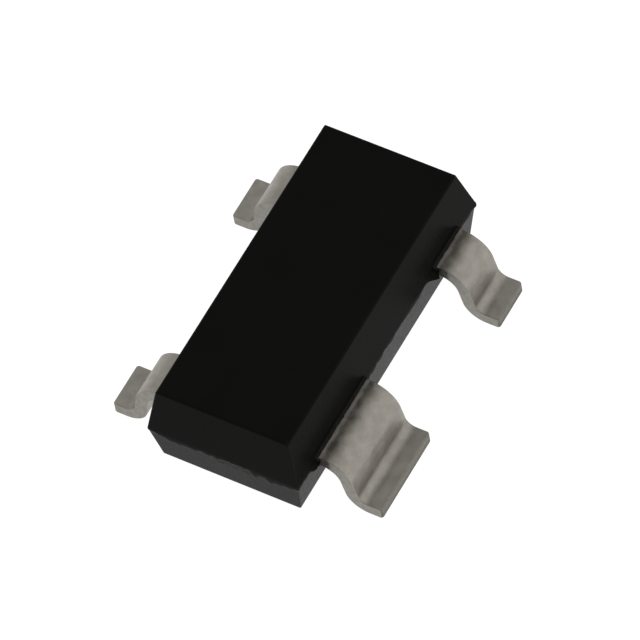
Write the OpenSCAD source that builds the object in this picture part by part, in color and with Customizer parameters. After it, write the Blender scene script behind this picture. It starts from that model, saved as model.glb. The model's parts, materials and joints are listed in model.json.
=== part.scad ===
// Four-lead small-outline surge protection array, in millimetres.
// A black moulded body with one wide and three narrow gull-wing leads.
// X runs along the body, Y across it, Z up from the seating plane of the feet.
// The wide lead is on the -X, -Y corner, and the origin is on the seating plane at the middle.

/* [Moulded body] */
// Length of the body at its parting line
body_length = 2.86; // [2.7:0.01:3.1]
// Width of the body at its parting line
body_width = 1.31; // [1.26:0.01:1.4]
// Height of the top face over the seating plane
overall_height = 0.94; // [0.91:0.01:1.1]
// Gap between the body's underside and the seating plane
standoff = 0.1; // [0.05:0.01:0.14]
// Height of the mould's parting plane over the seating plane
parting_height = 0.505; // [0.46:0.005:0.53]
// Draft of the faces above the parting plane, in degrees
top_draft = 11; // [7:0.5:12]
// Draft of the faces below the parting plane, in degrees
bottom_draft = 8; // [5:0.5:10]
// Rounding of the body's edges
edge_radius = 0.04; // [0.025:0.005:0.055]
// Faint angle at which a rounding joins its faces, in degrees
edge_break = 8; // [5:1:12]

/* [Mould flash] */
// How far the thin flash stands out along the parting line
flash_reach = 0.008; // [0.004:0.001:0.012]
// Thickness of the flash
flash_thickness = 0.014; // [0.008:0.001:0.02]
// Width of the broken gate on the end face
gate_width = 0.35; // [0.25:0.01:0.45]
// Height of the broken gate, down from the parting plane
gate_height = 0.08; // [0.05:0.005:0.12]
// How far the broken gate stands out of the end face
gate_reach = 0.012; // [0.008:0.001:0.02]
// Offset of the gate from the middle of the end face
gate_offset = -0.09; // [-0.15:0.01:0.1]

/* [Leads] */
// Width over the tips of opposite leads
span_over_leads = 2.34; // [2.28:0.01:2.5]
// Thickness of the lead frame
lead_thickness = 0.11; // [0.09:0.005:0.14]
// Width of each narrow lead
narrow_lead_width = 0.39; // [0.36:0.01:0.46]
// Width of the wide lead
wide_lead_width = 0.78; // [0.74:0.01:0.86]
// Distance between the two narrow leads of one side
lead_pitch = 1.9; // [1.8:0.01:1.96]
// Distance between the wide lead and the narrow lead beside it
wide_lead_pitch = 1.7; // [1.64:0.01:1.76]
// Height of the middle of the lead frame over the seating plane
frame_height = 0.485; // [0.45:0.005:0.51]
// Straight part of a lead between the body and its shoulder
shoulder_flat = 0.028; // [0.02:0.002:0.05]
// Inside radius of the shoulder bend
shoulder_radius = 0.155; // [0.12:0.005:0.17]
// Inside radius of the bend above the foot
ankle_radius = 0.09; // [0.07:0.005:0.11]
// Angle that each bend turns through, in degrees
bend_angle = 79; // [72:1:84]

/* [Lead frame inside the body] */
// Clear gap between neighbouring pieces of the lead frame
frame_gap = 0.12; // [0.1:0.005:0.14]
// Epoxy left between an anchor and the long side of the body
anchor_cover = 0.155; // [0.13:0.005:0.2]
// How far an anchor reaches past its lead towards the body's end
anchor_hook = 0.075; // [0.04:0.005:0.1]
// Corner rounding of the anchors and the die pad
plate_corner = 0.04; // [0.02:0.005:0.05]
// Diameter of the locking holes that the epoxy fills
lock_hole = 0.14; // [0.1:0.01:0.16]
// Length of the die pad, along X
pad_length = 0.78; // [0.72:0.01:0.84]
// Width of the die pad, along Y
pad_width = 0.56; // [0.52:0.01:0.6]
// Place of the die pad's middle along X
pad_x = -0.22; // [-0.26:0.01:-0.18]
// Place of the die pad's middle along Y
pad_y = -0.02; // [-0.04:0.01:0.02]
// Length of pad side that the wide lead's shank runs into
pad_neck = 0.1; // [0.08:0.01:0.14]

/* [Die] */
// Length of the silicon die, along X
die_length = 0.44; // [0.38:0.01:0.5]
// Width of the silicon die, along Y
die_width = 0.36; // [0.32:0.01:0.42]
// Thickness of the silicon die
die_thickness = 0.12; // [0.08:0.005:0.14]
// Thickness of the conductive adhesive under the die
bond_line = 0.015; // [0.01:0.001:0.02]
// How far the adhesive squeezes out past the die
bond_squeeze = 0.02; // [0.01:0.005:0.04]

/* [Bond wires] */
// Diameter of the gold wire
wire_diameter = 0.025; // [0.018:0.001:0.03]
// Diameter of the ball pressed on the die
ball_diameter = 0.07; // [0.06:0.005:0.09]
// Height of the pressed ball
ball_height = 0.018; // [0.012:0.001:0.024]
// Distance of a ball's middle from the die's edges
ball_inset = 0.085; // [0.07:0.005:0.1]
// Straight rise of the wire over the die
wire_rise = 0.08; // [0.06:0.005:0.1]
// Centreline radius of the loop's top
loop_radius = 0.05; // [0.04:0.005:0.06]
// Centreline radius where the wire lands
landing_radius = 0.06; // [0.04:0.005:0.08]
// Distance of the landing from its finger's inner edge
landing_inset = 0.11; // [0.09:0.005:0.14]
// Length of the flattened stitch past the landing
stitch_length = 0.06; // [0.05:0.005:0.08]
// Width of the flattened stitch
stitch_width = 0.055; // [0.045:0.005:0.07]
// Thickness of the flattened stitch
stitch_thickness = 0.012; // [0.008:0.001:0.016]

/* [Hidden] */
$fn = 48;

// How far a cutting shape runs past what it cuts
past = 0.3;

// A straight run of wire is drawn a hair thinner than the bends, and ends just inside them
run_diameter = wire_diameter * 0.98;
run_overlap = wire_diameter * 0.08;

// Plan of the body and the leads
half_length = body_length / 2;
half_width = body_width / 2;
narrow_x = lead_pitch / 2;
wide_x = narrow_x - wide_lead_pitch;

// Heights of the lead frame and of what stands on it
frame_bottom = frame_height - lead_thickness / 2;
frame_top = frame_height + lead_thickness / 2;
die_bottom = frame_top + bond_line;
die_top = die_bottom + die_thickness;

// Centreline of a gull-wing lead, outward from the body's middle plane
shoulder_mid = shoulder_radius + lead_thickness / 2;
ankle_mid = ankle_radius + lead_thickness / 2;
bend_start = half_width + shoulder_flat;
bend_fall = frame_height - lead_thickness / 2;
slope_run = (bend_fall - (shoulder_mid + ankle_mid) * (1 - cos(bend_angle))) / sin(bend_angle);
slope_start = [
    bend_start + shoulder_mid * sin(bend_angle),
    frame_height - shoulder_mid * (1 - cos(bend_angle))
];
foot_start = slope_start.x + slope_run * cos(bend_angle) + ankle_mid * sin(bend_angle);
foot_end = span_over_leads / 2;

// Plan of the lead frame inside the body
anchor_edge = half_width - anchor_cover;
anchor_end = narrow_x + narrow_lead_width / 2 + anchor_hook;
wide_anchor_end = -(wide_x - wide_lead_width / 2) + anchor_hook;
wide_anchor_inner = wide_x + wide_lead_width / 2;
pad_left = pad_x - pad_length / 2;
pad_right = pad_x + pad_length / 2;
pad_near = pad_y - pad_width / 2;
pad_far = pad_y + pad_width / 2;
shank_top = pad_near + pad_neck;
right_finger_inner = pad_right + frame_gap;
left_finger_inner = pad_left - frame_gap;
left_finger_low = shank_top + frame_gap;

// Ball places on the die, and where each wire lands on its finger
ball_right = pad_x + die_length / 2 - ball_inset;
ball_left = pad_x - die_length / 2 + ball_inset;
ball_near = pad_y - die_width / 2 + ball_inset;
ball_far = pad_y + die_width / 2 - ball_inset;
finger_middle = (frame_gap / 2 + anchor_edge) / 2;
left_finger_middle = (left_finger_low + anchor_edge) / 2;
landing_right = right_finger_inner + landing_inset;
landing_left = left_finger_inner - landing_inset;

// A round cut along the edge where two faces meet, which it joins at the angle edge_break.
// corner is a point on that edge, and face_a and face_b are the faces' outward unit normals.
module edge_round(corner, face_a, face_b, reach) {
    edge = cross(face_a, face_b) / norm(cross(face_a, face_b));
    side = cross(edge, face_a);
    turn = acos(face_a * face_b);
    depth = edge_radius * cos(edge_break);
    middle = corner - depth * (face_a + face_b) / (1 + face_a * face_b);
    beyond = 2 * edge_radius;
    multmatrix([
        [face_a.x, side.x, edge.x, middle.x],
        [face_a.y, side.y, edge.y, middle.y],
        [face_a.z, side.z, edge.z, middle.z]
    ])
        linear_extrude(height = 2 * reach, center = true)
            difference() {
                polygon([
                    [0, 0],
                    [beyond, 0],
                    beyond * [cos(turn / 2), sin(turn / 2)] / cos(turn / 2),
                    beyond * [cos(turn), sin(turn)]
                ]);
                circle(r = edge_radius);
            }
}

// Trapezium with its wide side on the X axis
module drafted_profile(half_base, height, draft) {
    half_tip = half_base - height * tan(draft);
    polygon([[-half_base, 0], [half_base, 0], [half_tip, height], [-half_tip, height]]);
}

// One half of the body, standing on the parting plane with its flat face up
module body_half(height, draft) {
    flat = [0, 0, 1];
    difference() {
        intersection() {
            translate([0, body_width, 0])
                rotate([90, 0, 0])
                    linear_extrude(height = 2 * body_width)
                        drafted_profile(half_length, height, draft);
            rotate([90, 0, 90])
                translate([0, 0, -body_length])
                    linear_extrude(height = 2 * body_length)
                        drafted_profile(half_width, height, draft);
        }
        for (way_x = [-1, 1]) {
            end_face = [way_x * cos(draft), 0, sin(draft)];
            end_top = way_x * (half_length - height * tan(draft));
            edge_round([end_top, 0, height], end_face, flat, half_width + past);
            for (way_y = [-1, 1]) {
                long_face = [0, way_y * cos(draft), sin(draft)];
                edge_round([way_x * half_length, way_y * half_width, 0], end_face, long_face, height + past);
            }
        }
        for (way_y = [-1, 1]) {
            long_face = [0, way_y * cos(draft), sin(draft)];
            long_top = way_y * (half_width - height * tan(draft));
            edge_round([0, long_top, height], long_face, flat, half_length + past);
        }
    }
}

// Flat plate with rounded corners, from its lowest corner to its highest
module rounded_plate(low, high, corner) {
    size = high - low;
    translate([low.x + corner, low.y, low.z])
        cube([size.x - 2 * corner, size.y, size.z]);
    translate([low.x, low.y + corner, low.z])
        cube([size.x, size.y - 2 * corner, size.z]);
    for (x = [low.x + corner, high.x - corner], y = [low.y + corner, high.y - corner])
        translate([x, y, low.z])
            cylinder(h = size.z, r = corner);
}

// Thin flash that the mould leaves all round the parting line
module flash() {
    reach = [half_length + flash_reach, half_width + flash_reach];
    low = parting_height - flash_thickness / 2;
    rounded_plate([-reach.x, -reach.y, low], [reach.x, reach.y, low + flash_thickness], edge_radius);
}

// Stub left where the runner was broken off the end face
module gate_stub() {
    translate([-half_length - gate_reach, gate_offset - gate_width / 2, parting_height - gate_height])
        cube([past, gate_width, gate_height]);
}

// Sector of a ring, between two angles less than half a turn apart
module ring_sector(inner, width, from, to) {
    far = 2 * (inner + width);
    intersection() {
        difference() {
            circle(r = inner + width);
            circle(r = inner);
        }
        polygon([
            [0, 0],
            far * [cos(from), sin(from)],
            far * [cos((from + to) / 2), sin((from + to) / 2)],
            far * [cos(to), sin(to)]
        ]);
    }
}

// Side view of a gull-wing lead: level stub, shoulder, slope, ankle and foot
module gull_wing_profile() {
    translate([anchor_edge - plate_corner, frame_bottom])
        square([bend_start - anchor_edge + plate_corner, lead_thickness]);
    translate([bend_start, frame_height - shoulder_mid])
        ring_sector(shoulder_radius, lead_thickness, 90 - bend_angle, 90);
    translate(slope_start)
        rotate(-bend_angle)
            translate([0, -lead_thickness / 2])
                square([slope_run, lead_thickness]);
    translate([foot_start, ankle_mid + lead_thickness / 2])
        ring_sector(ankle_radius, lead_thickness, 270 - bend_angle, 270);
    translate([foot_start, 0])
        square([foot_end - foot_start, lead_thickness]);
}

// Outer lead of one width, leaving the body on its +Y or -Y side
module gull_wing(middle_x, width, way) {
    scale_y = way > 0 ? 0 : 1;
    mirror([0, scale_y, 0])
        translate([middle_x - width / 2, 0, 0])
            rotate([90, 0, 90])
                linear_extrude(height = width)
                    gull_wing_profile();
}

// Level piece of the lead frame, with its locking hole
module frame_plate(low, high, hole) {
    difference() {
        rounded_plate([low.x, low.y, frame_bottom], [high.x, high.y, frame_top], plate_corner);
        translate([hole.x, hole.y, frame_bottom - past])
            cylinder(h = lead_thickness + 2 * past, d = lock_hole);
    }
}

// Wire from a ball on the die to a stitch on a finger
module bond_wire(ball, landing) {
    run = landing - ball;
    span = norm(run);
    rise = die_top - frame_top + wire_rise;
    foot = stitch_thickness / 2;
    across = span - loop_radius;
    down = rise - foot - landing_radius;
    bends = loop_radius + landing_radius;
    straight = sqrt(across * across + down * down - bends * bends);
    slope = atan2(down, across) + atan2(bends, straight);
    translate([ball.x, ball.y, frame_top])
        rotate([0, 0, atan2(run.y, run.x)])
            difference() {
                union() {
                    translate([0, 0, die_top - frame_top])
                        pressed_ball();
                    translate([0, 0, die_top - frame_top])
                        cylinder(h = wire_rise + run_overlap, d = run_diameter);
                    translate([loop_radius, 0, rise])
                        wire_bend(loop_radius, 90 - slope, 90 + slope);
                    translate([loop_radius * (1 + sin(slope)), 0, rise + loop_radius * cos(slope)])
                        rotate([0, 90 + slope, 0])
                            translate([0, 0, -run_overlap])
                                cylinder(h = straight + 2 * run_overlap, d = run_diameter);
                    translate([span, 0, foot + landing_radius])
                        wire_bend(landing_radius, 270 - slope, slope);
                    translate([span, 0, 0])
                        stitch();
                }
                translate([span - landing_radius - past, -past, -past])
                    cube([landing_radius + 2 * past, 2 * past, past]);
            }
}

// Bend of the wire in a plane that stands on X, from one angle and through another
module wire_bend(radius, from, through) {
    rotate([90, 0, 0])
        rotate([0, 0, from])
            rotate_extrude(angle = through)
                translate([radius, 0])
                    circle(d = wire_diameter);
}

// Ball pressed flat on the die, with the small collar that the tool leaves
module pressed_ball() {
    flat_radius = (ball_diameter - ball_height) / 2;
    rotate_extrude() {
        square([flat_radius, ball_height]);
        translate([flat_radius, ball_height / 2])
            intersection() {
                circle(d = ball_height);
                translate([0, -ball_height])
                    square(2 * ball_height);
            }
    }
    translate([0, 0, ball_height])
        cylinder(h = ball_height / 2, r1 = flat_radius * 0.8, r2 = wire_diameter / 2);
}

// Flattened end of the wire on its finger
module stitch() {
    heel = wire_diameter;
    translate([-heel, -stitch_width / 2, 0])
        cube([heel + stitch_length - stitch_width / 2, stitch_width, stitch_thickness]);
    translate([stitch_length - stitch_width / 2, 0, 0])
        cylinder(h = stitch_thickness, d = stitch_width);
}

// Everything that the epoxy flows round
module embedded() {
    wide_lead_with_die_pad();
    narrow_lead_beside_wide();
    narrow_lead_opposite_narrow();
    narrow_lead_opposite_wide();
    die_attach();
    silicon_die();
    bond_wire_beside_wide();
    bond_wire_opposite_narrow();
    bond_wire_opposite_wide();
}

module moulded_body() {
    color("#2a2a29")
        difference() {
            union() {
                translate([0, 0, parting_height])
                    body_half(overall_height - parting_height, top_draft);
                translate([0, 0, parting_height])
                    mirror([0, 0, 1])
                        body_half(parting_height - standoff, bottom_draft);
                flash();
                gate_stub();
            }
            embedded();
        }
}

module wide_lead_with_die_pad() {
    color("#c2beb6") {
        gull_wing(wide_x, wide_lead_width, -1);
        frame_plate(
            [-wide_anchor_end, -anchor_edge],
            [wide_anchor_inner, shank_top],
            [wide_x, (shank_top - anchor_edge) / 2]
        );
        rounded_plate([pad_left, pad_near, frame_bottom], [pad_right, pad_far, frame_top], plate_corner);
    }
}

module narrow_lead_beside_wide() {
    color("#c2beb6") {
        gull_wing(narrow_x, narrow_lead_width, -1);
        frame_plate(
            [right_finger_inner, -anchor_edge],
            [anchor_end, -frame_gap / 2],
            [narrow_x, -finger_middle]
        );
    }
}

module narrow_lead_opposite_narrow() {
    color("#c2beb6") {
        gull_wing(narrow_x, narrow_lead_width, 1);
        frame_plate(
            [right_finger_inner, frame_gap / 2],
            [anchor_end, anchor_edge],
            [narrow_x, finger_middle]
        );
    }
}

module narrow_lead_opposite_wide() {
    color("#c2beb6") {
        gull_wing(-narrow_x, narrow_lead_width, 1);
        frame_plate(
            [-anchor_end, left_finger_low],
            [left_finger_inner, anchor_edge],
            [-narrow_x - anchor_hook, left_finger_middle]
        );
    }
}

module silicon_die() {
    color("#6f7683")
        translate([pad_x - die_length / 2, pad_y - die_width / 2, die_bottom])
            cube([die_length, die_width, die_thickness]);
}

module die_attach() {
    reach = [die_length / 2 + bond_squeeze, die_width / 2 + bond_squeeze];
    color("#a7a39a")
        rounded_plate(
            [pad_x - reach.x, pad_y - reach.y, frame_top],
            [pad_x + reach.x, pad_y + reach.y, die_bottom],
            bond_squeeze
        );
}

module bond_wire_beside_wide() {
    color("#d9a93f")
        bond_wire([ball_right, ball_near], [landing_right, -finger_middle]);
}

module bond_wire_opposite_narrow() {
    color("#d9a93f")
        bond_wire([ball_right, ball_far], [landing_right, finger_middle]);
}

module bond_wire_opposite_wide() {
    color("#d9a93f")
        bond_wire([ball_left, ball_far], [landing_left, left_finger_middle]);
}

moulded_body();
wide_lead_with_die_pad();
narrow_lead_beside_wide();
narrow_lead_opposite_narrow();
narrow_lead_opposite_wide();
silicon_die();
die_attach();
bond_wire_beside_wide();
bond_wire_opposite_narrow();
bond_wire_opposite_wide();
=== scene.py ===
"""Looks of a small four-lead surge protection array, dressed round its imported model.

Meshes are modelled in millimetres and brought to metres when a piece is finished. X runs
along the body, Y across it and Z up from the plane that the feet stand on, as in the model.
"""

import json
import logging
import math
from dataclasses import dataclass, field
from enum import Enum, IntEnum
from typing import Any, Iterable

import bmesh
import bpy
from mathutils import Matrix, Vector, noise


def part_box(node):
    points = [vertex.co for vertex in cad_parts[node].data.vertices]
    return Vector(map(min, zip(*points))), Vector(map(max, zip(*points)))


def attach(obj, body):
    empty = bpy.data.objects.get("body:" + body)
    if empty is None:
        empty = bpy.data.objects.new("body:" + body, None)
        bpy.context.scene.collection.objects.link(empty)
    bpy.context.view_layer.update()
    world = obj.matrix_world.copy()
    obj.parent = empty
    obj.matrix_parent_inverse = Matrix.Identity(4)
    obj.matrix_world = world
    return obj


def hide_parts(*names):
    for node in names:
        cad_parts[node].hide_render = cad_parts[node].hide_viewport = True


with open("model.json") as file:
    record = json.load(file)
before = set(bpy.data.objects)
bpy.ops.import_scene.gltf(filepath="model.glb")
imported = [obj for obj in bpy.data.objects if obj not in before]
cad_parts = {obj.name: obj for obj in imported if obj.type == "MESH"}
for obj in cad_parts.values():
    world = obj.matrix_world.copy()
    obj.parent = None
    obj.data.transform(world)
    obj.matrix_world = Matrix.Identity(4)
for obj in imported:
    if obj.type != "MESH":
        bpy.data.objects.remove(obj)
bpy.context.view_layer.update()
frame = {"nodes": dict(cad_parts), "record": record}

LOG = logging.getLogger("looks")
MM = 0.001
WHITE = "#ffffff"

# Points nearer than this are one.
WELD_MM = 1e-5

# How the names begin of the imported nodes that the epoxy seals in, besides the leads.
SEALED = ("silicon_die", "die_attach", "bond_wire")

# Two unit vectors point the same way where their product is above this.
SAME_WAY = 0.999

# Noise textures give values round this one.
NOISE_MEAN = 0.5

# Watts that give an area light of one square metre a radiance of 1.
AREA_LIGHT_WATTS = 4

# Numbers of a Mix node's colour sockets, because its other sockets have the same names.
MIX_SHARE = 0
MIX_FIRST = 6
MIX_SECOND = 7
MIX_RESULT = 2


class Side(Enum):
    """Long side of the body that a lead leaves from, as the sign of Y."""

    NEAR = -1
    FAR = 1


class Slot(Enum):
    """Material slots of the record that the rebuilt pieces take."""

    EPOXY = "epoxy"
    TIN = "tinned_lead"


class LeadSurface(IntEnum):
    """Surfaces of a lead, as the numbers of its materials."""

    PLATED = 0
    SCORED = 1
    SHEARED = 2
    BARE = 3


class BodySurface(IntEnum):
    """Surfaces of the body, as the numbers of its materials."""

    MOULDED = 0
    BLED = 1
    # Corner faces, a little brighter: a painted highlight.
    TORN = 2
    CORNER_HIGHLIGHT = 3


def linear(colour: str) -> tuple[float, float, float, float]:
    """Turns an sRGB hex colour into the linear one that shaders take.

    Args:
        colour: sRGB colour such as "#c0ffee".

    Returns:
        Linear red, green and blue, and an alpha of 1.
    """
    parts = [int(colour[i:i + 2], 16) / 255 for i in (1, 3, 5)]
    red, green, blue = (c / 12.92 if c <= 0.04045 else ((c + 0.055) / 1.055) ** 2.4 for c in parts)
    return red, green, blue, 1.0


def per(size_mm: float) -> float:
    """Texture scale, in features per metre, for features of a size in millimetres."""
    return 1 / (size_mm * MM)


def add(tree: bpy.types.NodeTree, kind: str, sockets: dict[str | int, Any] | None = None,
        **settings: Any) -> bpy.types.Node:
    """Adds one node with its settings, its socket values and its links.

    Args:
        tree: Node tree that gets the node.
        kind: Type of the node, without the leading "ShaderNode".
        sockets: Input name or number to a value, or to the output socket that feeds it.
        **settings: Properties of the node.

    Returns:
        The new node.
    """
    node = tree.nodes.new("ShaderNode" + kind)
    for name, value in settings.items():
        setattr(node, name, value)
    for key, value in (sockets or {}).items():
        if isinstance(value, bpy.types.NodeSocket):
            tree.links.new(value, node.inputs[key])
        else:
            node.inputs[key].default_value = value
    return node


def blank_material(name: str) -> tuple[bpy.types.Material, bpy.types.NodeTree, bpy.types.Node]:
    """Starts a material that holds only its output.

    Args:
        name: Name of the material.

    Returns:
        The material, its node tree and its output node.
    """
    material = bpy.data.materials.new(name)
    material.use_nodes = True
    tree = material.node_tree
    tree.nodes.clear()
    return material, tree, add(tree, "OutputMaterial")


@dataclass(frozen=True)
class Finish:
    """A surface: two close colours that drift into each other, and a grain that breaks its shine.

    The colours drift over patches of drift_mm. The grain is grain_mm wide and grain_depth_mm deep, and
    stretch scales it along X, Y and Z, so that a value below 1 draws it out that way. Slow waves make
    the surface uneven. Noise keeps near its mean, so drift_noise and grain_noise are the stretches of
    it that give the whole range from one colour or roughness to the other.
    """

    name: str
    colour: str
    drift: str
    roughness: tuple[float, float]
    drift_mm: float
    grain_mm: float
    grain_depth_mm: float
    metallic: float = 0.0
    specular: float = 0.5
    stretch: tuple[float, float, float] = (1.0, 1.0, 1.0)
    wave_mm: float = 0.1
    wave_depth_mm: float = 0.0
    drift_noise: tuple[float, float] = (0.35, 0.65)
    grain_noise: tuple[float, float] = (0.3, 0.7)

    def make(self) -> bpy.types.Material:
        """Builds the material.

        Returns:
            The finished material.
        """
        material, tree, output = blank_material(self.name)
        place = add(tree, "TexCoord").outputs["Object"]
        patches = add(tree, "TexNoise", {"Vector": place, "Scale": per(self.drift_mm), "Detail": 3.0})
        tint = self.tint(tree, place, patches.outputs["Fac"])
        drawn = add(tree, "Mapping", {"Vector": place, "Scale": self.stretch})
        grain = add(tree, "TexNoise", {
            "Vector": drawn.outputs[0], "Scale": per(self.grain_mm), "Detail": 4.0,
        })
        shine = add(tree, "MapRange", {
            "Value": grain.outputs["Fac"],
            "From Min": self.grain_noise[0], "From Max": self.grain_noise[1],
            "To Min": self.roughness[0], "To Max": self.roughness[1],
        })
        waves = add(tree, "TexNoise", {"Vector": place, "Scale": per(self.wave_mm), "Detail": 1.0})
        uneven = add(tree, "Bump", {
            "Height": waves.outputs["Fac"], "Strength": 1.0, "Distance": self.wave_depth_mm * MM,
        })
        relief = add(tree, "Bump", {
            "Height": grain.outputs["Fac"], "Strength": 1.0, "Distance": self.grain_depth_mm * MM,
            "Normal": uneven.outputs[0],
        })
        shader = add(tree, "BsdfPrincipled", {
            "Base Color": tint, "Roughness": shine.outputs[0], "Normal": relief.outputs[0],
            "Metallic": self.metallic, "Specular IOR Level": self.specular,
        })
        tree.links.new(shader.outputs[0], output.inputs["Surface"])
        return material

    def tint(self, tree: bpy.types.NodeTree, place: bpy.types.NodeSocket,
             patches: bpy.types.NodeSocket) -> bpy.types.NodeSocket:
        """Mixes the two colours by the patches.

        Args:
            tree: Node tree of the material.
            place: Object coordinates.
            patches: Noise of the drift's size.

        Returns:
            The socket that gives the surface its colour.
        """
        share = add(tree, "MapRange", {
            "Value": patches, "From Min": self.drift_noise[0], "From Max": self.drift_noise[1],
        })
        return add(tree, "Mix", {
            MIX_SHARE: share.outputs[0], MIX_FIRST: linear(self.colour), MIX_SECOND: linear(self.drift),
        }, data_type="RGBA").outputs[MIX_RESULT]


@dataclass(frozen=True)
class TinWithPaintedShade(Finish):
    """Tin plating with a dark band of painted shade across the near leads, a little way out of the body: it
    stands for the body's shadow and its dark reflection on the leads.

    The band lies at line_mm toward the near side. It starts over fade_mm, is ragged by rag_mm, and fades out
    over tail_mm. In patches of shade_patch_mm it is weakened, down to the share faintest of it.
    """

    shade_colour: str = "#4c4943"
    line_mm: tuple[float, float] = (0.701, 0.735)
    rag_mm: float = 0.045
    fade_mm: float = 0.025
    tail_mm: float = 0.125
    tail_power: float = 1.9
    shade_patch_mm: float = 0.1
    shade_patch_noise: tuple[float, float] = (0.35, 0.6)
    faintest: float = 0.75

    def tint(self, tree: bpy.types.NodeTree, place: bpy.types.NodeSocket,
             patches: bpy.types.NodeSocket) -> bpy.types.NodeSocket:
        """Lays the ragged band of painted shade over the tin.

        Args:
            tree: Node tree of the material.
            place: Object coordinates.
            patches: Noise that makes the line ragged.

        Returns:
            The socket that gives the surface its colour.
        """
        plated = super().tint(tree, place, patches)
        aside = add(tree, "SeparateXYZ", {0: place}).outputs["Y"]
        rag = add(tree, "Math", {0: patches, 1: NOISE_MEAN}, operation="SUBTRACT")
        ragged = add(tree, "Math", {
            0: rag.outputs[0], 1: self.rag_mm * MM, 2: aside,
        }, operation="MULTIPLY_ADD")
        toward_near = add(tree, "Math", {0: ragged.outputs[0], 1: -1.0}, operation="MULTIPLY").outputs[0]
        start, end = self.line_mm
        inside = add(tree, "MapRange", {
            "Value": toward_near,
            "From Min": (start - self.fade_mm / 2) * MM, "From Max": (start + self.fade_mm / 2) * MM,
        })
        thinning = add(tree, "MapRange", {
            "Value": toward_near, "From Min": end * MM, "From Max": (end + self.tail_mm) * MM,
            "To Min": 1.0, "To Max": 0.0,
        })
        tail = add(tree, "Math", {0: thinning.outputs[0], 1: self.tail_power}, operation="POWER")
        band = add(tree, "Math", {0: inside.outputs[0], 1: tail.outputs[0]}, operation="MULTIPLY")
        shade_patches = add(tree, "TexNoise", {"Vector": place, "Scale": per(self.shade_patch_mm), "Detail": 3.0})
        left = add(tree, "MapRange", {
            "Value": shade_patches.outputs["Fac"],
            "From Min": self.shade_patch_noise[0], "From Max": self.shade_patch_noise[1],
            "To Min": self.faintest, "To Max": 1.0,
        })
        share = add(tree, "Math", {0: band.outputs[0], 1: left.outputs[0]}, operation="MULTIPLY")
        # The band mixes the painted shade colour into the tin.
        return add(tree, "Mix", {
            MIX_SHARE: share.outputs[0], MIX_FIRST: plated, MIX_SECOND: linear(self.shade_colour),
        }, data_type="RGBA").outputs[MIX_RESULT]


@dataclass(frozen=True)
class ShearedTip(Finish):
    """Lead tip cut after plating: tin smeared over its upper part, bare nickel-iron under it."""

    bare: str = "#66625b"
    smear_mm: float = 0.05
    blur_mm: float = 0.02

    def tint(self, tree: bpy.types.NodeTree, place: bpy.types.NodeSocket,
             patches: bpy.types.NodeSocket) -> bpy.types.NodeSocket:
        """Lays the smeared tin over the bare alloy, down to a ragged line.

        Args:
            tree: Node tree of the material.
            place: Object coordinates.
            patches: Noise that makes the line ragged.

        Returns:
            The socket that gives the surface its colour.
        """
        plated = super().tint(tree, place, patches)
        height = add(tree, "SeparateXYZ", {0: place}).outputs["Z"]
        ragged = add(tree, "Math", {0: patches, 1: self.blur_mm * MM, 2: height}, operation="MULTIPLY_ADD")
        share = add(tree, "MapRange", {
            "Value": ragged.outputs[0],
            "From Min": self.smear_mm * MM, "From Max": (self.smear_mm + self.blur_mm) * MM,
        })
        return add(tree, "Mix", {
            MIX_SHARE: share.outputs[0], MIX_FIRST: linear(self.bare), MIX_SECOND: plated,
        }, data_type="RGBA").outputs[MIX_RESULT]


@dataclass(frozen=True)
class SiliconChip(Finish):
    """Silicon chip: polished and slate blue under its nitride, with bright aluminium bond pads."""

    pads: tuple[tuple[float, float], ...] = ()
    pad_half_mm: float = 0.048
    top_mm: float = 0.0
    aluminium: str = "#d6d8da"

    def tint(self, tree: bpy.types.NodeTree, place: bpy.types.NodeSocket,
             patches: bpy.types.NodeSocket) -> bpy.types.NodeSocket:
        """Lays a square aluminium pad on the top face under each ball.

        Args:
            tree: Node tree of the material.
            place: Object coordinates.
            patches: Noise of the drift's size.

        Returns:
            The socket that gives the surface its colour.
        """
        colour = super().tint(tree, place, patches)
        for x, y in self.pads:
            from_pad = add(tree, "VectorMath", {
                0: place, 1: (x * MM, y * MM, self.top_mm * MM),
            }, operation="SUBTRACT")
            apart = add(tree, "VectorMath", {0: from_pad.outputs[0]}, operation="ABSOLUTE")
            axes = add(tree, "SeparateXYZ", {0: apart.outputs[0]})
            wide = add(tree, "Math", {0: axes.outputs[0], 1: axes.outputs[1]}, operation="MAXIMUM")
            deep = add(tree, "Math", {0: wide.outputs[0], 1: axes.outputs[2]}, operation="MAXIMUM")
            on_pad = add(tree, "Math", {
                0: deep.outputs[0], 1: self.pad_half_mm * MM,
            }, operation="LESS_THAN")
            colour = add(tree, "Mix", {
                MIX_SHARE: on_pad.outputs[0], MIX_FIRST: colour, MIX_SECOND: linear(self.aluminium),
            }, data_type="RGBA").outputs[MIX_RESULT]
        return colour


# Silica-filled epoxy moulding compound, pressed against spark-eroded steel: dead black and matt,
# with a fine even grain. The real grain is near 0.015 mm and is drawn twice as coarse to show.
MOULDED_EPOXY = Finish("epoxy_spark_eroded_matt", "#111110", "#131312", (0.22, 0.32),
                       0.5, 0.03, 0.0004, specular=0.019)

# The same epoxy where it bled out round a lead: a thin black collar, a little rougher than the body.
BLED_EPOXY = Finish("epoxy_bled_film", "#21211f", "#292825", (0.45, 0.6),
                    0.06, 0.02, 0.001, specular=0.05)

# The same epoxy where the runner was broken off: a torn, pale and rough face of bare filler.
TORN_EPOXY = Finish("epoxy_torn_gate", "#2b2b29", "#353533", (0.7, 0.9),
                    0.05, 0.02, 0.002, specular=0.1)

# The same epoxy on the four rounded corners, a little brighter in colour and shine: a painted highlight.
EPOXY_CORNER_HIGHLIGHT = Finish("epoxy_corner_painted_highlight", "#131312", "#151514", (0.22, 0.32),
                      0.5, 0.03, 0.0004, specular=0.034)

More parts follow.
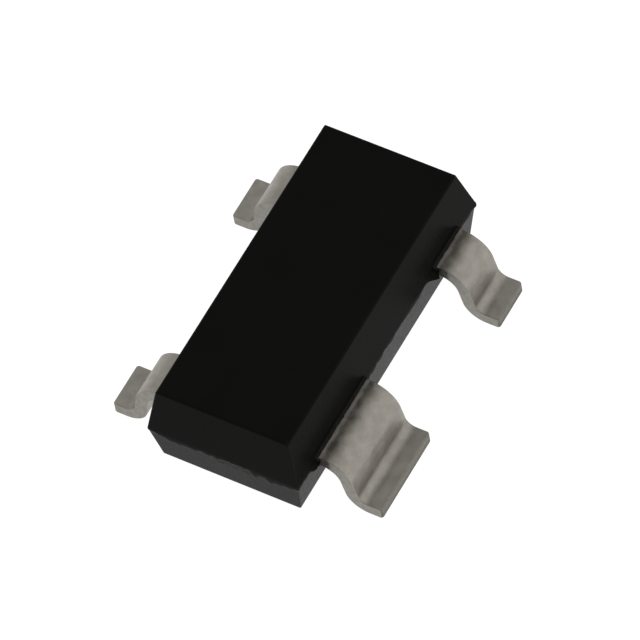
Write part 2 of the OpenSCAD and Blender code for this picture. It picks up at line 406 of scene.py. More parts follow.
# Matt tin, electroplated on the formed leads: satin, faintly warm, softly mottled and a little uneven. On the
# near leads it carries a band of painted shade next to the body.
# Its crystals are a few thousandths of a millimetre, and are drawn near 0.02 mm to show.
MATT_TIN = TinWithPaintedShade("matt_tin_plating", "#9a968f", "#8f8b83", (0.4, 0.5),
                      0.09, 0.022, 0.0003, metallic=1.0, wave_mm=0.13, wave_depth_mm=0.008)

# The same plating on the stamped sides, over the fine scoring that the punch leaves through the sheet. Its
# band of painted shade on the near leads is darker, begins nearer the body and ends sooner.
SCORED_TIN = TinWithPaintedShade("matt_tin_on_stamped_edge", "#918e88", "#85827b", (0.45, 0.58),
                        0.05, 0.012, 0.0005, metallic=1.0, stretch=(1.0, 1.0, 0.25),
                        shade_colour="#33312c", line_mm=(0.64, 0.755), tail_mm=0.05)

# Nickel-iron lead tip, sheared through after plating: brighter and streaked, greyer where it is bare.
SHEARED_TIP = ShearedTip("nickel_iron_sheared_tip", "#78746c", "#6e6a62", (0.45, 0.58),
                         0.04, 0.01, 0.0006, metallic=1.0, stretch=(1.0, 1.0, 0.2))

# Bare nickel-iron of the stamped frame: the tin is plated after moulding, so inside the body there is
# none. Rolled smooth, a little yellower than the tin.
BARE_ALLOY = Finish("bare_nickel_iron_frame", "#a59d8e", "#9a9285", (0.26, 0.38),
                    0.12, 0.02, 0.0003, metallic=1.0)

# Adhesive filled with silver flakes, cured: pale grey, matt, with a coarse speckle.
FLAKED_ADHESIVE = Finish("silver_filled_adhesive", "#a8a49b", "#8b877e", (0.45, 0.7),
                         0.03, 0.008, 0.001, metallic=0.6)

# Drawn gold wire: rich yellow and polished, with faint lines from the drawing die.
DRAWN_GOLD = Finish("drawn_gold_wire", "#ffe29d", "#f4cf80", (0.14, 0.24),
                    0.05, 0.01, 0.0003, metallic=1.0, stretch=(0.2, 0.2, 0.2))

LEAD_FINISHES = {
    LeadSurface.PLATED: MATT_TIN,
    LeadSurface.SCORED: SCORED_TIN,
    LeadSurface.SHEARED: SHEARED_TIP,
    LeadSurface.BARE: BARE_ALLOY,
}
BODY_FINISHES = {
    BodySurface.MOULDED: MOULDED_EPOXY,
    BodySurface.BLED: BLED_EPOXY,
    BodySurface.TORN: TORN_EPOXY,
    BodySurface.CORNER_HIGHLIGHT: EPOXY_CORNER_HIGHLIGHT,
}


def corners_mm(node: str) -> tuple[Vector, Vector]:
    """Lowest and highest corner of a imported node, in millimetres."""
    low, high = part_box(node)
    return low / MM, high / MM


def mount_mm(name: str) -> Vector:
    """Place of one of the record's mounts, in millimetres."""
    return next(Vector(m["pos_m"]) / MM for m in frame["record"]["mounts"] if m["name"] == name)


def whole(faces: Iterable[bmesh.types.BMFace]) -> list[Any]:
    """Faces together with their edges and points, so that an extrusion leaves none of them inside."""
    return list(dict.fromkeys(part for face in faces for part in (face, *face.edges, *face.verts)))


def extrude(bm: bmesh.types.BMesh, faces: Iterable[bmesh.types.BMFace],
            move: Vector) -> list[bmesh.types.BMFace]:
    """Extrudes faces and moves what comes out of them.

    Args:
        bm: Mesh to work on.
        faces: Faces to extrude together.
        move: Way that the new faces move.

    Returns:
        The moved faces.
    """
    made = bmesh.ops.extrude_face_region(bm, geom=whole(faces))["geom"]
    bmesh.ops.translate(bm, vec=move, verts=[g for g in made if isinstance(g, bmesh.types.BMVert)])
    return [g for g in made if isinstance(g, bmesh.types.BMFace)]


def mesh_object(name: str, bm: bmesh.types.BMesh) -> bpy.types.Object:
    """Puts a mesh on an object of its own in the scene, and frees the working mesh.

    Args:
        name: Name of the object and of its mesh.
        bm: Working mesh.

    Returns:
        The new object.
    """
    mesh = bpy.data.meshes.new(name)
    bm.to_mesh(mesh)
    bm.free()
    thing = bpy.data.objects.new(name, mesh)
    bpy.context.scene.collection.objects.link(thing)
    return thing


def apply_modifiers(thing: bpy.types.Object) -> None:
    """Makes an object's modifiers part of its mesh.

    Args:
        thing: Object whose mesh changes.
    """
    graph = bpy.context.evaluated_depsgraph_get()
    made = bpy.data.meshes.new_from_object(thing.evaluated_get(graph))
    thing.modifiers.clear()
    thing.data = made


def cut_or_join(base: bpy.types.Object, tools: list[bpy.types.Object], operation: str) -> None:
    """Cuts tools out of an object or joins them to it, and removes them.

    Args:
        base: Object whose mesh changes.
        tools: Objects to cut with or to join.
        operation: "DIFFERENCE" or "UNION".
    """
    group = bpy.data.collections.new("tools")
    bpy.context.scene.collection.children.link(group)
    for tool in tools:
        group.objects.link(tool)
    work = base.modifiers.new("work", "BOOLEAN")
    work.operation = operation
    work.solver = "EXACT"
    work.operand_type = "COLLECTION"
    work.collection = group
    work.use_self = True
    apply_modifiers(base)
    for tool in tools:
        bpy.data.objects.remove(tool)
    bpy.data.collections.remove(group)


def tool_copy(thing: bpy.types.Object, scale: float = 1.0) -> bpy.types.Object:
    """Copies an object as a clean closed shape to cut with.

    Args:
        thing: Object to copy.
        scale: Factor that brings its mesh to millimetres.

    Returns:
        The copy, with its doubles merged. What it cuts out of the body has moulded walls.
    """
    bm = bmesh.new()
    bm.from_mesh(thing.data)
    bmesh.ops.scale(bm, vec=(scale,) * 3, verts=bm.verts)
    bmesh.ops.remove_doubles(bm, verts=bm.verts, dist=WELD_MM)
    for face in bm.faces:
        face.material_index = BodySurface.MOULDED
    tool = mesh_object(thing.name + "_tool", bm)
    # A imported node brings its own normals, which would spoil the shading of what it cuts.
    normals = tool.data.attributes.get("custom_normal")
    if normals:
        tool.data.attributes.remove(normals)
    return tool


def finish_piece(piece: bpy.types.Object, materials: list[bpy.types.Material], node: str,
                 sharp: float = 32.0) -> None:
    """Evens out a piece's shading, brings it to metres, dresses it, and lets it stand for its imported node.

    Faces in metres are too small for the shading to be weighed by their areas, so that is done in
    micrometres.

    Args:
        piece: Object whose mesh is in millimetres.
        materials: Materials in the order of the faces' numbers.
        node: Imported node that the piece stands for.
        sharp: Angle in degrees above which an edge stays hard.
    """
    piece.data.transform(Matrix.Scale(1 / MM, 4))
    piece.data.polygons.foreach_set("use_smooth", [True] * len(piece.data.polygons))
    piece.data.set_sharp_from_angle(angle=math.radians(sharp))
    even = piece.modifiers.new("even shading", "WEIGHTED_NORMAL")
    even.keep_sharp = True
    even.thresh = 0.0
    apply_modifiers(piece)
    mesh = piece.data
    mesh.transform(Matrix.Scale(MM * MM, 4))
    for material in materials:
        mesh.materials.append(material)
    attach(piece, "root")
    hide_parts(node)
    LOG.info("%s stands for %s, with %d faces", piece.name, node, len(mesh.polygons))


@dataclass
class Lead:
    """One stamped, formed and plated piece of the lead frame, modelled as if it left the near side.

    The plan is the flat blank's outline from above, as far out as the shoulder. rounded holds the numbers
    of its rounded corners, and hole the middle of its locking hole. A face whose normal rises by less
    than side_rise is a stamped side, and one whose normal rises by more than face_rise is an upper or
    lower face. Scored sides face X by more than side_facing, and the tip faces Y by more than tip_facing.
    """

    name: str
    node: str
    side: Side
    middle_x: float
    width: float
    plan: list[tuple[float, float]]
    rounded: list[int]
    hole: tuple[float, float]
    thickness: float = 0.11
    body_half_width: float = 0.655
    foot_end: float = 1.17
    frame_top: float = 0.54
    shoulder_flat: float = 0.028
    shoulder_radius: float = 0.155
    ankle_radius: float = 0.09
    bend_angle: float = 79.0
    plate_corner: float = 0.04
    corner_share: float = 0.6
    hole_diameter: float = 0.14
    tip_corner: float = 0.022
    rolled_edge: float = 0.009
    burr_edge: float = 0.005
    side_rise: float = 0.05
    face_rise: float = 0.1
    side_facing: float = 0.9
    tip_facing: float = 0.5
    plating_start: float = 0.64
    bend_steps: int = 14

    def build(self) -> bpy.types.Object:
        """Stamps, forms and deburrs the lead.

        Returns:
            The lead, in millimetres, with its faces numbered by LeadSurface.
        """
        bm = bmesh.new()
        end = self.stamp(bm)
        self.form(bm, end)
        bmesh.ops.recalc_face_normals(bm, faces=bm.faces)
        self.soften(bm)
        self.sort_faces(bm)
        if self.side is Side.FAR:
            bmesh.ops.scale(bm, vec=(1, -1, 1), verts=bm.verts)
            bmesh.ops.reverse_faces(bm, faces=bm.faces)
        lead = mesh_object(self.name, bm)
        cut_or_join(lead, [self.punch()], "DIFFERENCE")
        return lead

    def stamp(self, bm: bmesh.types.BMesh) -> bmesh.types.BMFace:
        """Stamps the flat blank out of the sheet, up to where the shoulder starts.

        Args:
            bm: Empty mesh that gets the blank.

        Returns:
            The blank's outer end face.
        """
        bottom = self.frame_top - self.thickness
        blank = [bm.verts.new((x, y, bottom)) for x, y in self.plan]
        bm.faces.new(blank)
        for i in self.rounded:
            shortest = min(edge.calc_length() for edge in blank[i].link_edges)
            offset = min(self.plate_corner, self.corner_share * shortest)
            bmesh.ops.bevel(bm, geom=[blank[i]], offset=offset, segments=4, profile=0.5,
                            affect="VERTICES", material=-1)
        extrude(bm, bm.faces[:], Vector((0, 0, self.thickness)))
        return min(bm.faces, key=lambda face: face.calc_center_median().y)

    def form(self, bm: bmesh.types.BMesh, end: bmesh.types.BMFace) -> None:
        """Bends the shoulder and the ankle, and runs the foot out to its tip.

        Args:
            bm: Mesh that holds the flat blank.
            end: The blank's outer end face.
        """
        turn = math.radians(self.bend_angle)
        bottom = self.frame_top - self.thickness
        start = self.body_half_width + self.shoulder_flat
        shoulder = Vector((0, -start, bottom - self.shoulder_radius))
        inner = self.shoulder_radius + self.ankle_radius + self.thickness
        run = (bottom - inner * (1 - math.cos(turn))) / math.sin(turn)
        ankle_y = start + inner * math.sin(turn) + run * math.cos(turn)
        ankle = Vector((0, -ankle_y, self.thickness + self.ankle_radius))
        bent = self.bend(bm, end, shoulder, turn)
        slope = extrude(bm, [bent], Vector((0, -math.cos(turn), -math.sin(turn))) * run)[0]
        flat = self.bend(bm, slope, ankle, -turn)
        tip = extrude(bm, [flat], Vector((0, ankle_y - self.foot_end, 0)))[0]
        corners = [
            edge for edge in tip.edges
            if abs(edge.verts[0].co.z - edge.verts[1].co.z) > self.thickness / 2
        ]
        bmesh.ops.bevel(bm, geom=corners, offset=self.tip_corner, segments=3, profile=0.5,
                        affect="EDGES", material=-1)

    def bend(self, bm: bmesh.types.BMesh, end: bmesh.types.BMFace, centre: Vector,
             turn: float) -> bmesh.types.BMFace:
        """Carries an end face round a bend.

        Args:
            bm: Mesh to work on.
            end: Face that is carried round.
            centre: Point on the axis of the bend, which lies along X.
            turn: Angle in radians.

        Returns:
            The end face after the bend.
        """
        made = bmesh.ops.spin(bm, geom=whole([end]), cent=centre, axis=(1, 0, 0), angle=turn,
                              steps=self.bend_steps, use_duplicate=False)
        return next(g for g in made["geom_last"] if isinstance(g, bmesh.types.BMFace))

    def soften(self, bm: bmesh.types.BMesh) -> None:
        """Rolls over the long upper edges, as the punch does, and barely breaks the lower ones.

        Args:
            bm: Mesh of the formed lead.
        """
        bm.normal_update()
        upper, lower = [], []
        for edge in bm.edges:
            least_rise, most_rise = sorted((face.normal.z for face in edge.link_faces), key=abs)
            outside = max(vert.co.y for vert in edge.verts) < self.shoulder_flat - self.body_half_width
            if outside and abs(least_rise) < self.side_rise and abs(most_rise) > self.face_rise:
                (upper if most_rise > 0 else lower).append(edge)
        for edges, offset, steps in ((upper, self.rolled_edge, 3), (lower, self.burr_edge, 1)):
            bmesh.ops.bevel(bm, geom=[edge for edge in edges if edge.is_valid], offset=offset,
                            segments=steps, profile=0.5, affect="EDGES", material=-1)

    def sort_faces(self, bm: bmesh.types.BMesh) -> None:
        """Numbers the stamped sides, the sheared tip and what lies inside the body by their surface.

        Args:
            bm: Mesh of the formed lead.
        """
        bmesh.ops.bisect_plane(bm, geom=whole(bm.faces), plane_co=(0, -self.plating_start, 0),
                               plane_no=(0, 1, 0))
        bm.normal_update()
        for face in bm.faces:
            middle_y = face.calc_center_median().y
            if middle_y > -self.plating_start:
                face.material_index = LeadSurface.BARE
            elif abs(face.normal.x) > self.side_facing:
                face.material_index = LeadSurface.SCORED
            elif face.normal.y < -self.tip_facing and middle_y < -self.foot_end + self.tip_corner:
                face.material_index = LeadSurface.SHEARED

    def punch(self) -> bpy.types.Object:
        """Makes the punch for the locking hole that the epoxy fills.

        Returns:
            The punch, in millimetres.
        """
        bm = bmesh.new()
        bmesh.ops.create_cone(bm, cap_ends=True, segments=32, radius1=self.hole_diameter / 2,
                              radius2=self.hole_diameter / 2, depth=3 * self.thickness)
        x, y = self.hole
        height = self.frame_top - self.thickness / 2
        bmesh.ops.translate(bm, vec=(x, y * -self.side.value, height), verts=bm.verts)
        for face in bm.faces:
            face.material_index = LeadSurface.BARE
        return mesh_object(self.name + "_punch", bm)


@dataclass
class LeadFrame:
    """The four leads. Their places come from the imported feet, plates and die."""

    narrow_width: float = 0.39
    wide_width: float = 0.78
    anchor_edge: float = 0.5
    neck_break: float = 0.62
    pad_neck: float = 0.1
    hole_shift: float = -0.075
    leads: list[Lead] = field(default_factory=list)

    def make(self) -> list[bpy.types.Object]:
        """Lays out and builds the four leads.

        Returns:
            The leads, still in millimetres.
        """
        self.leads = [
            self.wide("plated_wide_lead", "wide_lead_with_die_pad"),
            self.narrow("plated_narrow_lead_beside_wide", "narrow_lead_beside_wide", Side.NEAR, 0.0),
            self.narrow("plated_narrow_lead_opposite_narrow", "narrow_lead_opposite_narrow", Side.FAR, 0.0),
            self.narrow("plated_narrow_lead_opposite_wide", "narrow_lead_opposite_wide", Side.FAR,
                        self.hole_shift),
        ]
        return [lead.build() for lead in self.leads]

    def neck(self, middle_x: float, width: float) -> tuple[list[tuple[float, float]], float, float]:
        """Outline of a lead's outer end, with a point on each side where it enters the body.

        Args:
            middle_x: Middle of the lead.
            width: Width of the lead.

        Returns:
            The four points, and the lead's left and right side.
        """
        left = middle_x - width / 2
        right = middle_x + width / 2
        end = Lead.body_half_width + Lead.shoulder_flat
        points = [(left, -self.neck_break), (left, -end), (right, -end), (right, -self.neck_break)]
        return points, left, right

    def narrow(self, name: str, node: str, side: Side, hole_shift: float) -> Lead:
        """Lays out a narrow lead with its inner finger.

        Args:
            name: Name of the piece.
            node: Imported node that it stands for.
            side: Long side that it leaves.
            hole_shift: Place of the locking hole along X, from the lead's middle.

        Returns:
            The lead, ready to build.
        """
        low, high = corners_mm(node)
        middle = mount_mm(node.replace("lead", "foot")).x
        inner = high.y if side is Side.NEAR else -low.y
        neck, left, right = self.neck(middle, self.narrow_width)
        plan = neck + [
            (right, -self.anchor_edge), (high.x, -self.anchor_edge), (high.x, inner),
            (low.x, inner), (low.x, -self.anchor_edge), (left, -self.anchor_edge),
        ]
        hole = (middle + hole_shift, (inner - self.anchor_edge) / 2)
        return Lead(name, node, side, middle, self.narrow_width, plan, rounded=[5, 6, 7, 8], hole=hole)

    def wide(self, name: str, node: str) -> Lead:
        """Lays out the wide lead with its shank and the pad under the die.

        Args:
            name: Name of the piece.
            node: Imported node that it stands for.

        Returns:
            The lead, ready to build.
        """
        low, high = corners_mm(node)
        die_low, die_high = corners_mm("silicon_die")
        pad_left = die_low.x + die_high.x - high.x
        pad_near = die_low.y + die_high.y - high.y
        shank = pad_near + self.pad_neck
        middle = mount_mm("wide_foot").x
        neck, left, right = self.neck(middle, self.wide_width)
        plan = neck + [
            (right, pad_near), (high.x, pad_near), (high.x, high.y), (pad_left, high.y),
            (pad_left, shank), (low.x, shank), (low.x, -self.anchor_edge), (left, -self.anchor_edge),
        ]
        hole = (middle, (shank - self.anchor_edge) / 2)
        return Lead(name, node, Side.NEAR, middle, self.wide_width, plan, rounded=[5, 6, 7, 9, 10],
                    hole=hole)

    def finish(self, pieces: list[bpy.types.Object]) -> None:
        """Dresses the built leads and lets them stand for their nodes.

        Args:
            pieces: The leads as make() returned them.
        """
        materials = [LEAD_FINISHES[surface].make() for surface in LeadSurface]
        for lead, piece in zip(self.leads, pieces):
            finish_piece(piece, materials, lead.node)


@dataclass(frozen=True)
class Spot:
    """Place on the parting outline: the point that its corner turns about, and the way outward."""

    core: Vector
    way: Vector


@dataclass(frozen=True)
class Spur:
    """Stretch of heavier flash: its middle, its extra reach and hang, and half its length."""

    middle: tuple[float, float]
    reach: float
    hang: float
    spread: float

    def share(self, place: Vector) -> float:
        """Share of the extra flash at a place: flat over the stretch, with quick ends."""
        return math.exp(-((place - Vector(self.middle)).length / self.spread) ** 4)


@dataclass
class MouldedBody:
    """The epoxy body: two drafted halves, ragged flash, a torn gate and bled epoxy at each lead.

    The flash varies by rag_share of itself over rag_size, within rag_limits. Its section runs from its
    root below to its root above, each point as the share of its reach, the share of its hang, and the
    share of its thickness under that. The torn gate is rough by gate_tear over gate_tear_size.
    """

    name: str = "epoxy_body"
    node: str = "moulded_body"
    parting: float = 0.505
    top_draft: float = 11.0
    bottom_draft: float = 8.0
    top_edge_radius: float = 0.028
    bottom_edge_radius: float = 0.016
    corner_radius: float = 0.01
    round_steps: int = 4
    column: float = 0.022
    cad_flash: float = 0.008
    flash_reach: float = 0.007
    flash_hang: float = 0.045
    flash_thickness: float = 0.012
    flash_section: tuple[tuple[float, float, float], ...] = (
        (0, 1, 1), (0.85, 1, 0.35), (1, 0.8, 0), (0.6, 0.3, 0), (0, -0.15, 0),
    )
    rag_size: float = 0.075
    rag_share: float = 0.75
    rag_fine_share: float = 0.5
    rag_limits: tuple[float, float] = (0.3, 1.6)
    gate_y: float = -0.06
    gate_width: float = 0.35
    gate_height: float = 0.08
    gate_reach: float = 0.002
    gate_tear: float = 0.005
    gate_tear_size: float = 0.02
    gate_levels: int = 3
    gate_flash: float = 0.8
    bleed_reach: float = 0.022
    bleed_height: float = 0.006
    bleed_side: float = 0.01
    bleed_depth: float = 0.08
    bleed_rag_share: float = 0.35
    bleed_step: float = 0.024
    low: Vector = field(init=False)
    high: Vector = field(init=False)
    half_length: float = field(init=False)
    half_width: float = field(init=False)
    spurs: list[Spur] = field(init=False)

    def __post_init__(self) -> None:
        """Takes the body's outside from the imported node, and lays out the heavier flash."""
        self.low, self.high = corners_mm(self.node)
        self.half_length = self.high.x - self.cad_flash
        self.half_width = self.high.y - self.cad_flash
        near_end = -self.half_length
        near_side = -self.half_width
        far_side = self.half_width
        self.spurs = [
            # Along the near end and round its corner: thin at the far corner, webs beside the gate.
            Spur((near_end, far_side), -0.006, -0.04, 0.07),
            Spur((near_end, 0.4), 0.003, 0.02, 0.27),
            Spur((near_end, 0.045), 0.002, 0.025, 0.03),
            Spur((near_end, -0.27), 0.002, 0.03, 0.03),
            Spur((near_end, -0.42), 0.005, 0.04, 0.15),
            Spur((-1.32, near_side), 0.003, 0.025, 0.12),
            # Webs beside the leads, and a point at the corner of the far end.
            Spur((-1.165, near_side), 0.045, 0.0, 0.06),
            Spur((0.73, near_side), 0.055, 0.0, 0.06),
            Spur((self.half_length, near_side), 0.008, 0.0, 0.06),
            Spur((-1.165, far_side), 0.03, 0.0, 0.06),
            Spur((0.73, far_side), 0.03, 0.0, 0.06),
        ]

    def build(self, leads: list[Lead], pieces: list[bpy.types.Object]) -> bpy.types.Object:
        """Moulds the body round what it holds.

        Args:
            leads: The leads, for where the epoxy bleeds.
            pieces: The built leads, in millimetres.

        Returns:
            The body, in millimetres, with its faces numbered by BodySurface.
        """
        bm = bmesh.new()
        self.skin(bm)
        bmesh.ops.recalc_face_normals(bm, faces=bm.faces)
        body = mesh_object(self.name, bm)
        cut_or_join(body, [self.bleed(lead) for lead in leads], "UNION")
        sealed = [thing for name, thing in frame["nodes"].items() if name.startswith(SEALED)]
        tools = [tool_copy(piece) for piece in pieces]
        tools += [tool_copy(thing, 1 / MM) for thing in sealed]
        cut_or_join(body, tools, "DIFFERENCE")
        return body

    def skin(self, bm: bmesh.types.BMesh) -> None:
        """Joins the rings of points to a closed skin, and numbers its torn faces and its corner faces, which
        carry a painted highlight.

        The flash is ragged, so that each point of it has its own place, and no operator lays them out.

        Args:
            bm: Empty mesh that gets the skin.
        """
        spots = self.outline()
        rings = [[bm.verts.new(point) for point in ring] for ring in self.rings(spots)]
        bm.faces.new(rings[0])
        bm.faces.new(rings[-1])
        first_torn = self.round_steps + 1
        torn_levels = range(first_torn, first_torn + 1 + self.gate_levels)
        for level, (lower, upper) in enumerate(zip(rings, rings[1:])):
            for i in range(len(lower)):
                side = bm.faces.new((lower[i - 1], lower[i], upper[i], upper[i - 1]))
                if level in torn_levels and self.at_gate(spots[i - 1]) and self.at_gate(spots[i]):
                    side.material_index = BodySurface.TORN
                # Faces that round the corners get the painted highlight.
                elif spots[i - 1].way.dot(spots[i].way) < SAME_WAY:
                    side.material_index = BodySurface.CORNER_HIGHLIGHT

    def at_gate(self, spot: Spot) -> bool:
        """Whether a spot lies on the near end, within the gate's width."""
        return spot.way.x < -SAME_WAY and abs(spot.core.y - self.gate_y) < self.gate_width / 2

    def outline(self) -> list[Spot]:
        """Spots along the parting outline, evenly apart on its straights.

        Returns:
            The spots, counter-clockwise from the far end.
        """
        reach = Vector((self.half_length - self.corner_radius, self.half_width - self.corner_radius))
        signs = ((1, 1), (-1, 1), (-1, -1), (1, -1))
        cores = [Vector((sign_x * reach.x, sign_y * reach.y)) for sign_x, sign_y in signs]
        spots = []
        for quarter, core in enumerate(cores):
            for step in range(self.round_steps + 1):
                angle = (quarter + step / self.round_steps) * math.pi / 2
                spots.append(Spot(core, Vector((math.cos(angle), math.sin(angle)))))
            along = cores[(quarter + 1) % len(cores)] - core
            count = round(along.length / self.column)
            spots += [Spot(core + along * i / count, spots[-1].way) for i in range(1, count)]
        return spots

    def point(self, spot: Spot, z: float, out: float) -> Vector:
        """Point of the drafted side at a height.

        Args:
            spot: Place along the outline.
            z: Height of the point.
            out: How far it stands out of the drafted side, less than 0 for in.

        Returns:
            The point, in millimetres.
        """
        above = z - self.parting
        draft = self.top_draft if above > 0 else self.bottom_draft
        inset = abs(above) * math.tan(math.radians(draft)) - min(out, 0)
        x = spot.core.x * (1 - inset / (self.half_length - self.corner_radius))
        y = spot.core.y * (1 - inset / (self.half_width - self.corner_radius))
        place = Vector((x, y)) + spot.way * (self.corner_radius + max(out, 0))
        return Vector((place.x, place.y, z))

    def edge(self, spots: list[Spot], face_z: float, radius: float, draft: float,
             way: int) -> list[list[Vector]]:
        """Rings that round the edge between the side and the top or the underside.

        Args:
            spots: Spots along the outline.
            face_z: Height of the top or the underside.
            radius: Radius of the edge.
            draft: Draft of the side, in degrees.
            way: 1 at the top, -1 at the underside.

        Returns:
            The rings, from the flat face to the side.
        """
        lean = math.radians(draft)
        rings = []
        for step in range(self.round_steps + 1):
            tilt = math.pi / 2 + (lean - math.pi / 2) * step / self.round_steps
            drop = radius * (1 - math.sin(tilt))
            at_side = radius * (1 - math.sin(lean))
            out = radius * (math.cos(tilt) - math.cos(lean)) + (at_side - drop) * math.tan(lean)
            rings.append([self.point(spot, face_z - way * drop, out) for spot in spots])
        return rings

    def lip(self, spot: Spot) -> tuple[float, float]:
        """Works out how far the flash stands out and hangs down at a spot.

        Args:
            spot: Place along the outline.

        Returns:
            Its reach and its hang, in millimetres.
        """
        place = spot.core + spot.way * self.corner_radius
        coarse = noise.noise(Vector((*place, 0)) / self.rag_size)
        fine = noise.noise(Vector((*place, 1)) / self.rag_size * 2)
        least, most = self.rag_limits
        ragged = min(max(least, 1 + self.rag_share * (coarse + self.rag_fine_share * fine)), most)
        shares = [(spur, spur.share(place)) for spur in self.spurs]
        reach = self.flash_reach + sum(spur.reach * share for spur, share in shares)
        hang = self.flash_hang + sum(spur.hang * share for spur, share in shares)
        left = self.gate_flash if self.at_gate(spot) else 1.0
        return reach * ragged * left, hang * ragged * left

    def rings(self, spots: list[Spot]) -> list[list[Vector]]:
        """Rings of points round the body, from the underside to the top.

        Args:
            spots: Spots along the outline.

        Returns:
            The rings, in millimetres.
        """
        rings = self.edge(spots, self.low.z, self.bottom_edge_radius, self.bottom_draft, -1)
        lips = [self.lip(spot) for spot in spots]
        for level in range(self.gate_levels + 1):
            ring = []
            for spot, (_, hang) in zip(spots, lips):
                top = self.parting - hang - self.flash_thickness
                bottom = min(self.parting - self.flash_hang - self.gate_height, top - self.gate_tear)
                z = bottom + (top - bottom) * level / (self.gate_levels + 1)
                rough = self.gate_tear * noise.noise(Vector((spot.core.y, z, 0)) / self.gate_tear_size)
                out = self.gate_reach + rough if level and self.at_gate(spot) else 0
                ring.append(self.point(spot, z, out))
            rings.append(ring)
        for out, down, under in self.flash_section:
            rings.append([
                self.point(spot, self.parting - hang * down - self.flash_thickness * under, reach * out)
                for spot, (reach, hang) in zip(spots, lips)
            ])
        return rings + self.edge(spots, self.high.z, self.top_edge_radius, self.top_draft, 1)[::-1]

    def bleed(self, lead: Lead) -> bpy.types.Object:
        """Film of epoxy that bled out along a lead, as a ragged collar on the body's side.

        Args:
            lead: Lead that the collar goes round.

        Returns:
            The collar, in millimetres.
        """
        width = lead.width + 2 * self.bleed_side
        depth = self.bleed_depth
        tall = lead.thickness + 2 * self.bleed_height
        bm = bmesh.new()
        bmesh.ops.create_grid(bm, x_segments=round(width / self.bleed_step), y_segments=1, size=0.5)
        bmesh.ops.scale(bm, vec=(width, depth, 1), verts=bm.verts)
        outer = -self.half_width - self.bleed_reach
        low = lead.frame_top - lead.thickness - self.bleed_height
        bmesh.ops.translate(bm, vec=(lead.middle_x, outer + depth / 2, low), verts=bm.verts)
        extrude(bm, bm.faces[:], Vector((0, 0, tall)))
        for vert in bm.verts:
            if vert.co.y < outer + depth / 2:
                rag = noise.noise(Vector((vert.co.x, lead.side.value, 0)) / (2 * self.bleed_step))
                vert.co.y += self.bleed_rag_share * self.bleed_reach * rag
                vert.co.z += (low + tall / 2 - vert.co.z) * self.bleed_height / tall
        bmesh.ops.scale(bm, vec=(1, -lead.side.value, 1), verts=bm.verts)
        bmesh.ops.recalc_face_normals(bm, faces=bm.faces)
        for face in bm.faces:
            face.material_index = BodySurface.BLED
        return mesh_object(self.name + "_bleed", bm)

    def finish(self, piece: bpy.types.Object) -> None:
        """Dresses the built body and lets it stand for its node."""
        materials = [BODY_FINISHES[surface].make() for surface in BodySurface]
        finish_piece(piece, materials, self.node)


@dataclass
class ChipAndWires:
    """What is sealed inside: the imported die, adhesive and wires keep their shapes and get their surfaces."""

    wires: tuple[str, ...] = ("bond_wire_beside_wide", "bond_wire_opposite_narrow", "bond_wire_opposite_wide")
    ball_inset: float = 0.085

    def dress(self) -> None:
        """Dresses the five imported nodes."""
        low, high = corners_mm("silicon_die")
        near = low.y + self.ball_inset
        far = high.y - self.ball_inset
        left = low.x + self.ball_inset
        right = high.x - self.ball_inset
        # Silicon chip with a nitride coat: polished, slate blue, with sawn sides and three bright pads.
        chip = SiliconChip("silicon_under_nitride", "#565f74", "#646b7c", (0.12, 0.2),
                           0.2, 0.006, 0.0002, metallic=0.3,
                           pads=((right, near), (right, far), (left, far)), top_mm=high.z)
        self.assign("silicon_die", chip.make())
        self.assign("die_attach", FLAKED_ADHESIVE.make())
        gold = DRAWN_GOLD.make()
        for wire in self.wires:
            self.assign(wire, gold)

    def assign(self, node: str, material: bpy.types.Material) -> None:
        """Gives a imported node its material, and leaves its mesh alone.

        Args:
            node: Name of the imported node.
            material: Material that it gets.
        """
        thing = frame["nodes"][node]
        if thing.material_slots:
            thing.material_slots[0].material = material
        else:
            thing.data.materials.append(material)
        LOG.info("%s keeps its packed shape, in %s", node, material.name)


@dataclass(frozen=True)
class PhotoCamera:
    """Camera at the photograph's viewing angle. The origin lies at origin_px in the photograph's frame."""

    azimuth: float = -52.5
    elevation: float = 55.9
    roll: float = -10.82
    distance_mm: float = 70.5
    px_per_mm: float = 130.58
    origin_px: tuple[float, float] = (319.3, 350.4)
    frame_px: int = 640

    def make(self) -> None:
        """Adds the camera to the scene."""
        turn, lift, roll = (math.radians(a) for a in (self.azimuth, self.elevation, self.roll))
        back = Vector((math.sin(turn) * math.cos(lift), -math.cos(turn) * math.cos(lift), math.sin(lift)))
        level = Vector((math.cos(turn), math.sin(turn), 0))
        upright = back.cross(level)
        right = level * math.cos(roll) + upright * math.sin(roll)
        up = upright * math.cos(roll) - level * math.sin(roll)
        aside = right * (self.origin_px[0] - self.frame_px / 2) - up * (self.origin_px[1] - self.frame_px / 2)
        data = bpy.data.cameras.new("photo_camera")
        data.lens = self.px_per_mm * self.distance_mm / self.frame_px * data.sensor_width
        data.clip_start = self.distance_mm * MM / 10
        data.clip_end = self.distance_mm * MM * 100
        camera = bpy.data.objects.new("photo_camera", data)
        place = (back * self.distance_mm - aside / self.px_per_mm) * MM
        turned = Matrix((right, up, back)).transposed().to_4x4()
        camera.matrix_world = Matrix.Translation(place) @ turned
        bpy.context.scene.collection.objects.link(camera)
        bpy.context.scene.camera = camera


@dataclass(frozen=True)
class Softbox:
    """Square studio light that faces the part from a direction, with an even brightness."""

    name: str
    toward: tuple[float, float, float]
    size_mm: float
    brightness: float
    distance_mm: float = 60.0

    def make(self) -> None:
        """Adds the light to the scene."""
        data = bpy.data.lights.new(self.name, "AREA")
        data.shape = "SQUARE"
        data.size = self.size_mm * MM
        data.energy = self.brightness * AREA_LIGHT_WATTS * (self.size_mm * MM) ** 2
        light = bpy.data.objects.new(self.name, data)
        way = Vector(self.toward).normalized()
        light.location = way * self.distance_mm * MM
        light.rotation_euler = way.to_track_quat("Z", "Y").to_euler()
        bpy.context.scene.collection.objects.link(light)


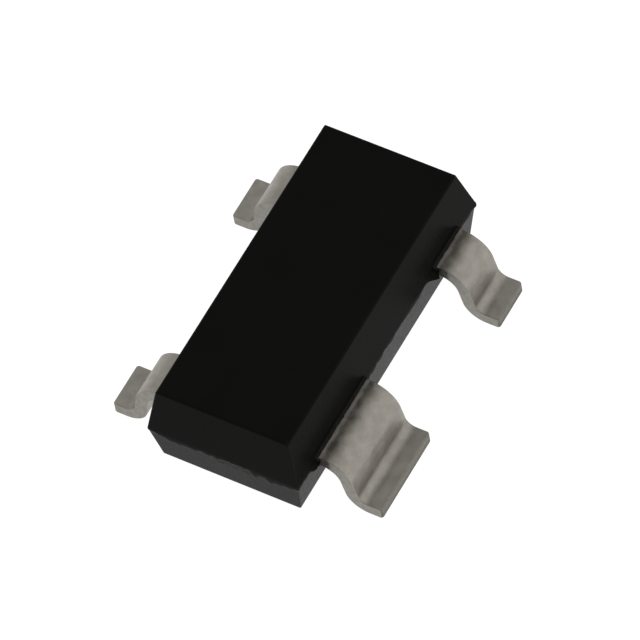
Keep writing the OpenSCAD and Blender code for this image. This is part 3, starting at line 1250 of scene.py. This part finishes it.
@dataclass(frozen=True)
class Studio:
    """Pale floor, dim room and soft lights."""

    floor_radius_mm: float = 150.0
    floor_tones: tuple[str, str] = ("#7c7c7b", "#80807f")
    floor_cloud_mm: float = 8.0
    floor_glow: float = 0.97
    room_brightness: float = 0.55
    lights: tuple[Softbox, ...] = (
        Softbox("near_softbox", (0.42, -0.7, 0.5), 80.0, 0.42),
        Softbox("far_softbox", (0.3, 0.8, 0.55), 80.0, 0.18),
    )

    def make(self) -> None:
        """Builds the room."""
        bpy.context.scene.view_settings.view_transform = "Standard"
        world = bpy.data.worlds.new("studio_room")
        world.use_nodes = True
        background = world.node_tree.nodes["Background"]
        background.inputs["Strength"].default_value = self.room_brightness
        background.inputs["Color"].default_value = linear(WHITE)
        bpy.context.scene.world = world
        for light in self.lights:
            light.make()
        bm = bmesh.new()
        bmesh.ops.create_circle(bm, cap_ends=True, radius=self.floor_radius_mm * MM, segments=64)
        floor = mesh_object("studio_floor", bm)
        floor.data.materials.append(self.floor_material())

    def floor_material(self) -> bpy.types.Material:
        """Opal acrylic light table: matt, and lit evenly from below, so that it is white without shadows.

        Returns:
            The floor's material.
        """
        material, tree, output = blank_material("opal_acrylic_light_table")
        place = add(tree, "TexCoord").outputs["Object"]
        cloud = add(tree, "TexNoise", {"Vector": place, "Scale": per(self.floor_cloud_mm)})
        dark, pale = self.floor_tones
        tone = add(tree, "Mix", {
            MIX_SHARE: cloud.outputs["Fac"], MIX_FIRST: linear(dark), MIX_SECOND: linear(pale),
        }, data_type="RGBA")
        shader = add(tree, "BsdfPrincipled", {
            "Base Color": tone.outputs[MIX_RESULT], "Roughness": 0.8, "Specular IOR Level": 0.1,
            "Emission Color": linear(WHITE), "Emission Strength": self.floor_glow,
        })
        tree.links.new(shader.outputs[0], output.inputs["Surface"])
        return material


def main() -> None:
    """Builds the scene in order: camera, room, leads, body, and what is sealed inside."""
    logging.basicConfig(level=logging.INFO, format="%(name)s: %(message)s")
    PhotoCamera().make()
    Studio().make()
    leads = LeadFrame()
    formed = leads.make()
    body = MouldedBody()
    moulded = body.build(leads.leads, formed)
    leads.finish(formed)
    body.finish(moulded)
    ChipAndWires().dress()


if __name__ == "__main__":
    main()
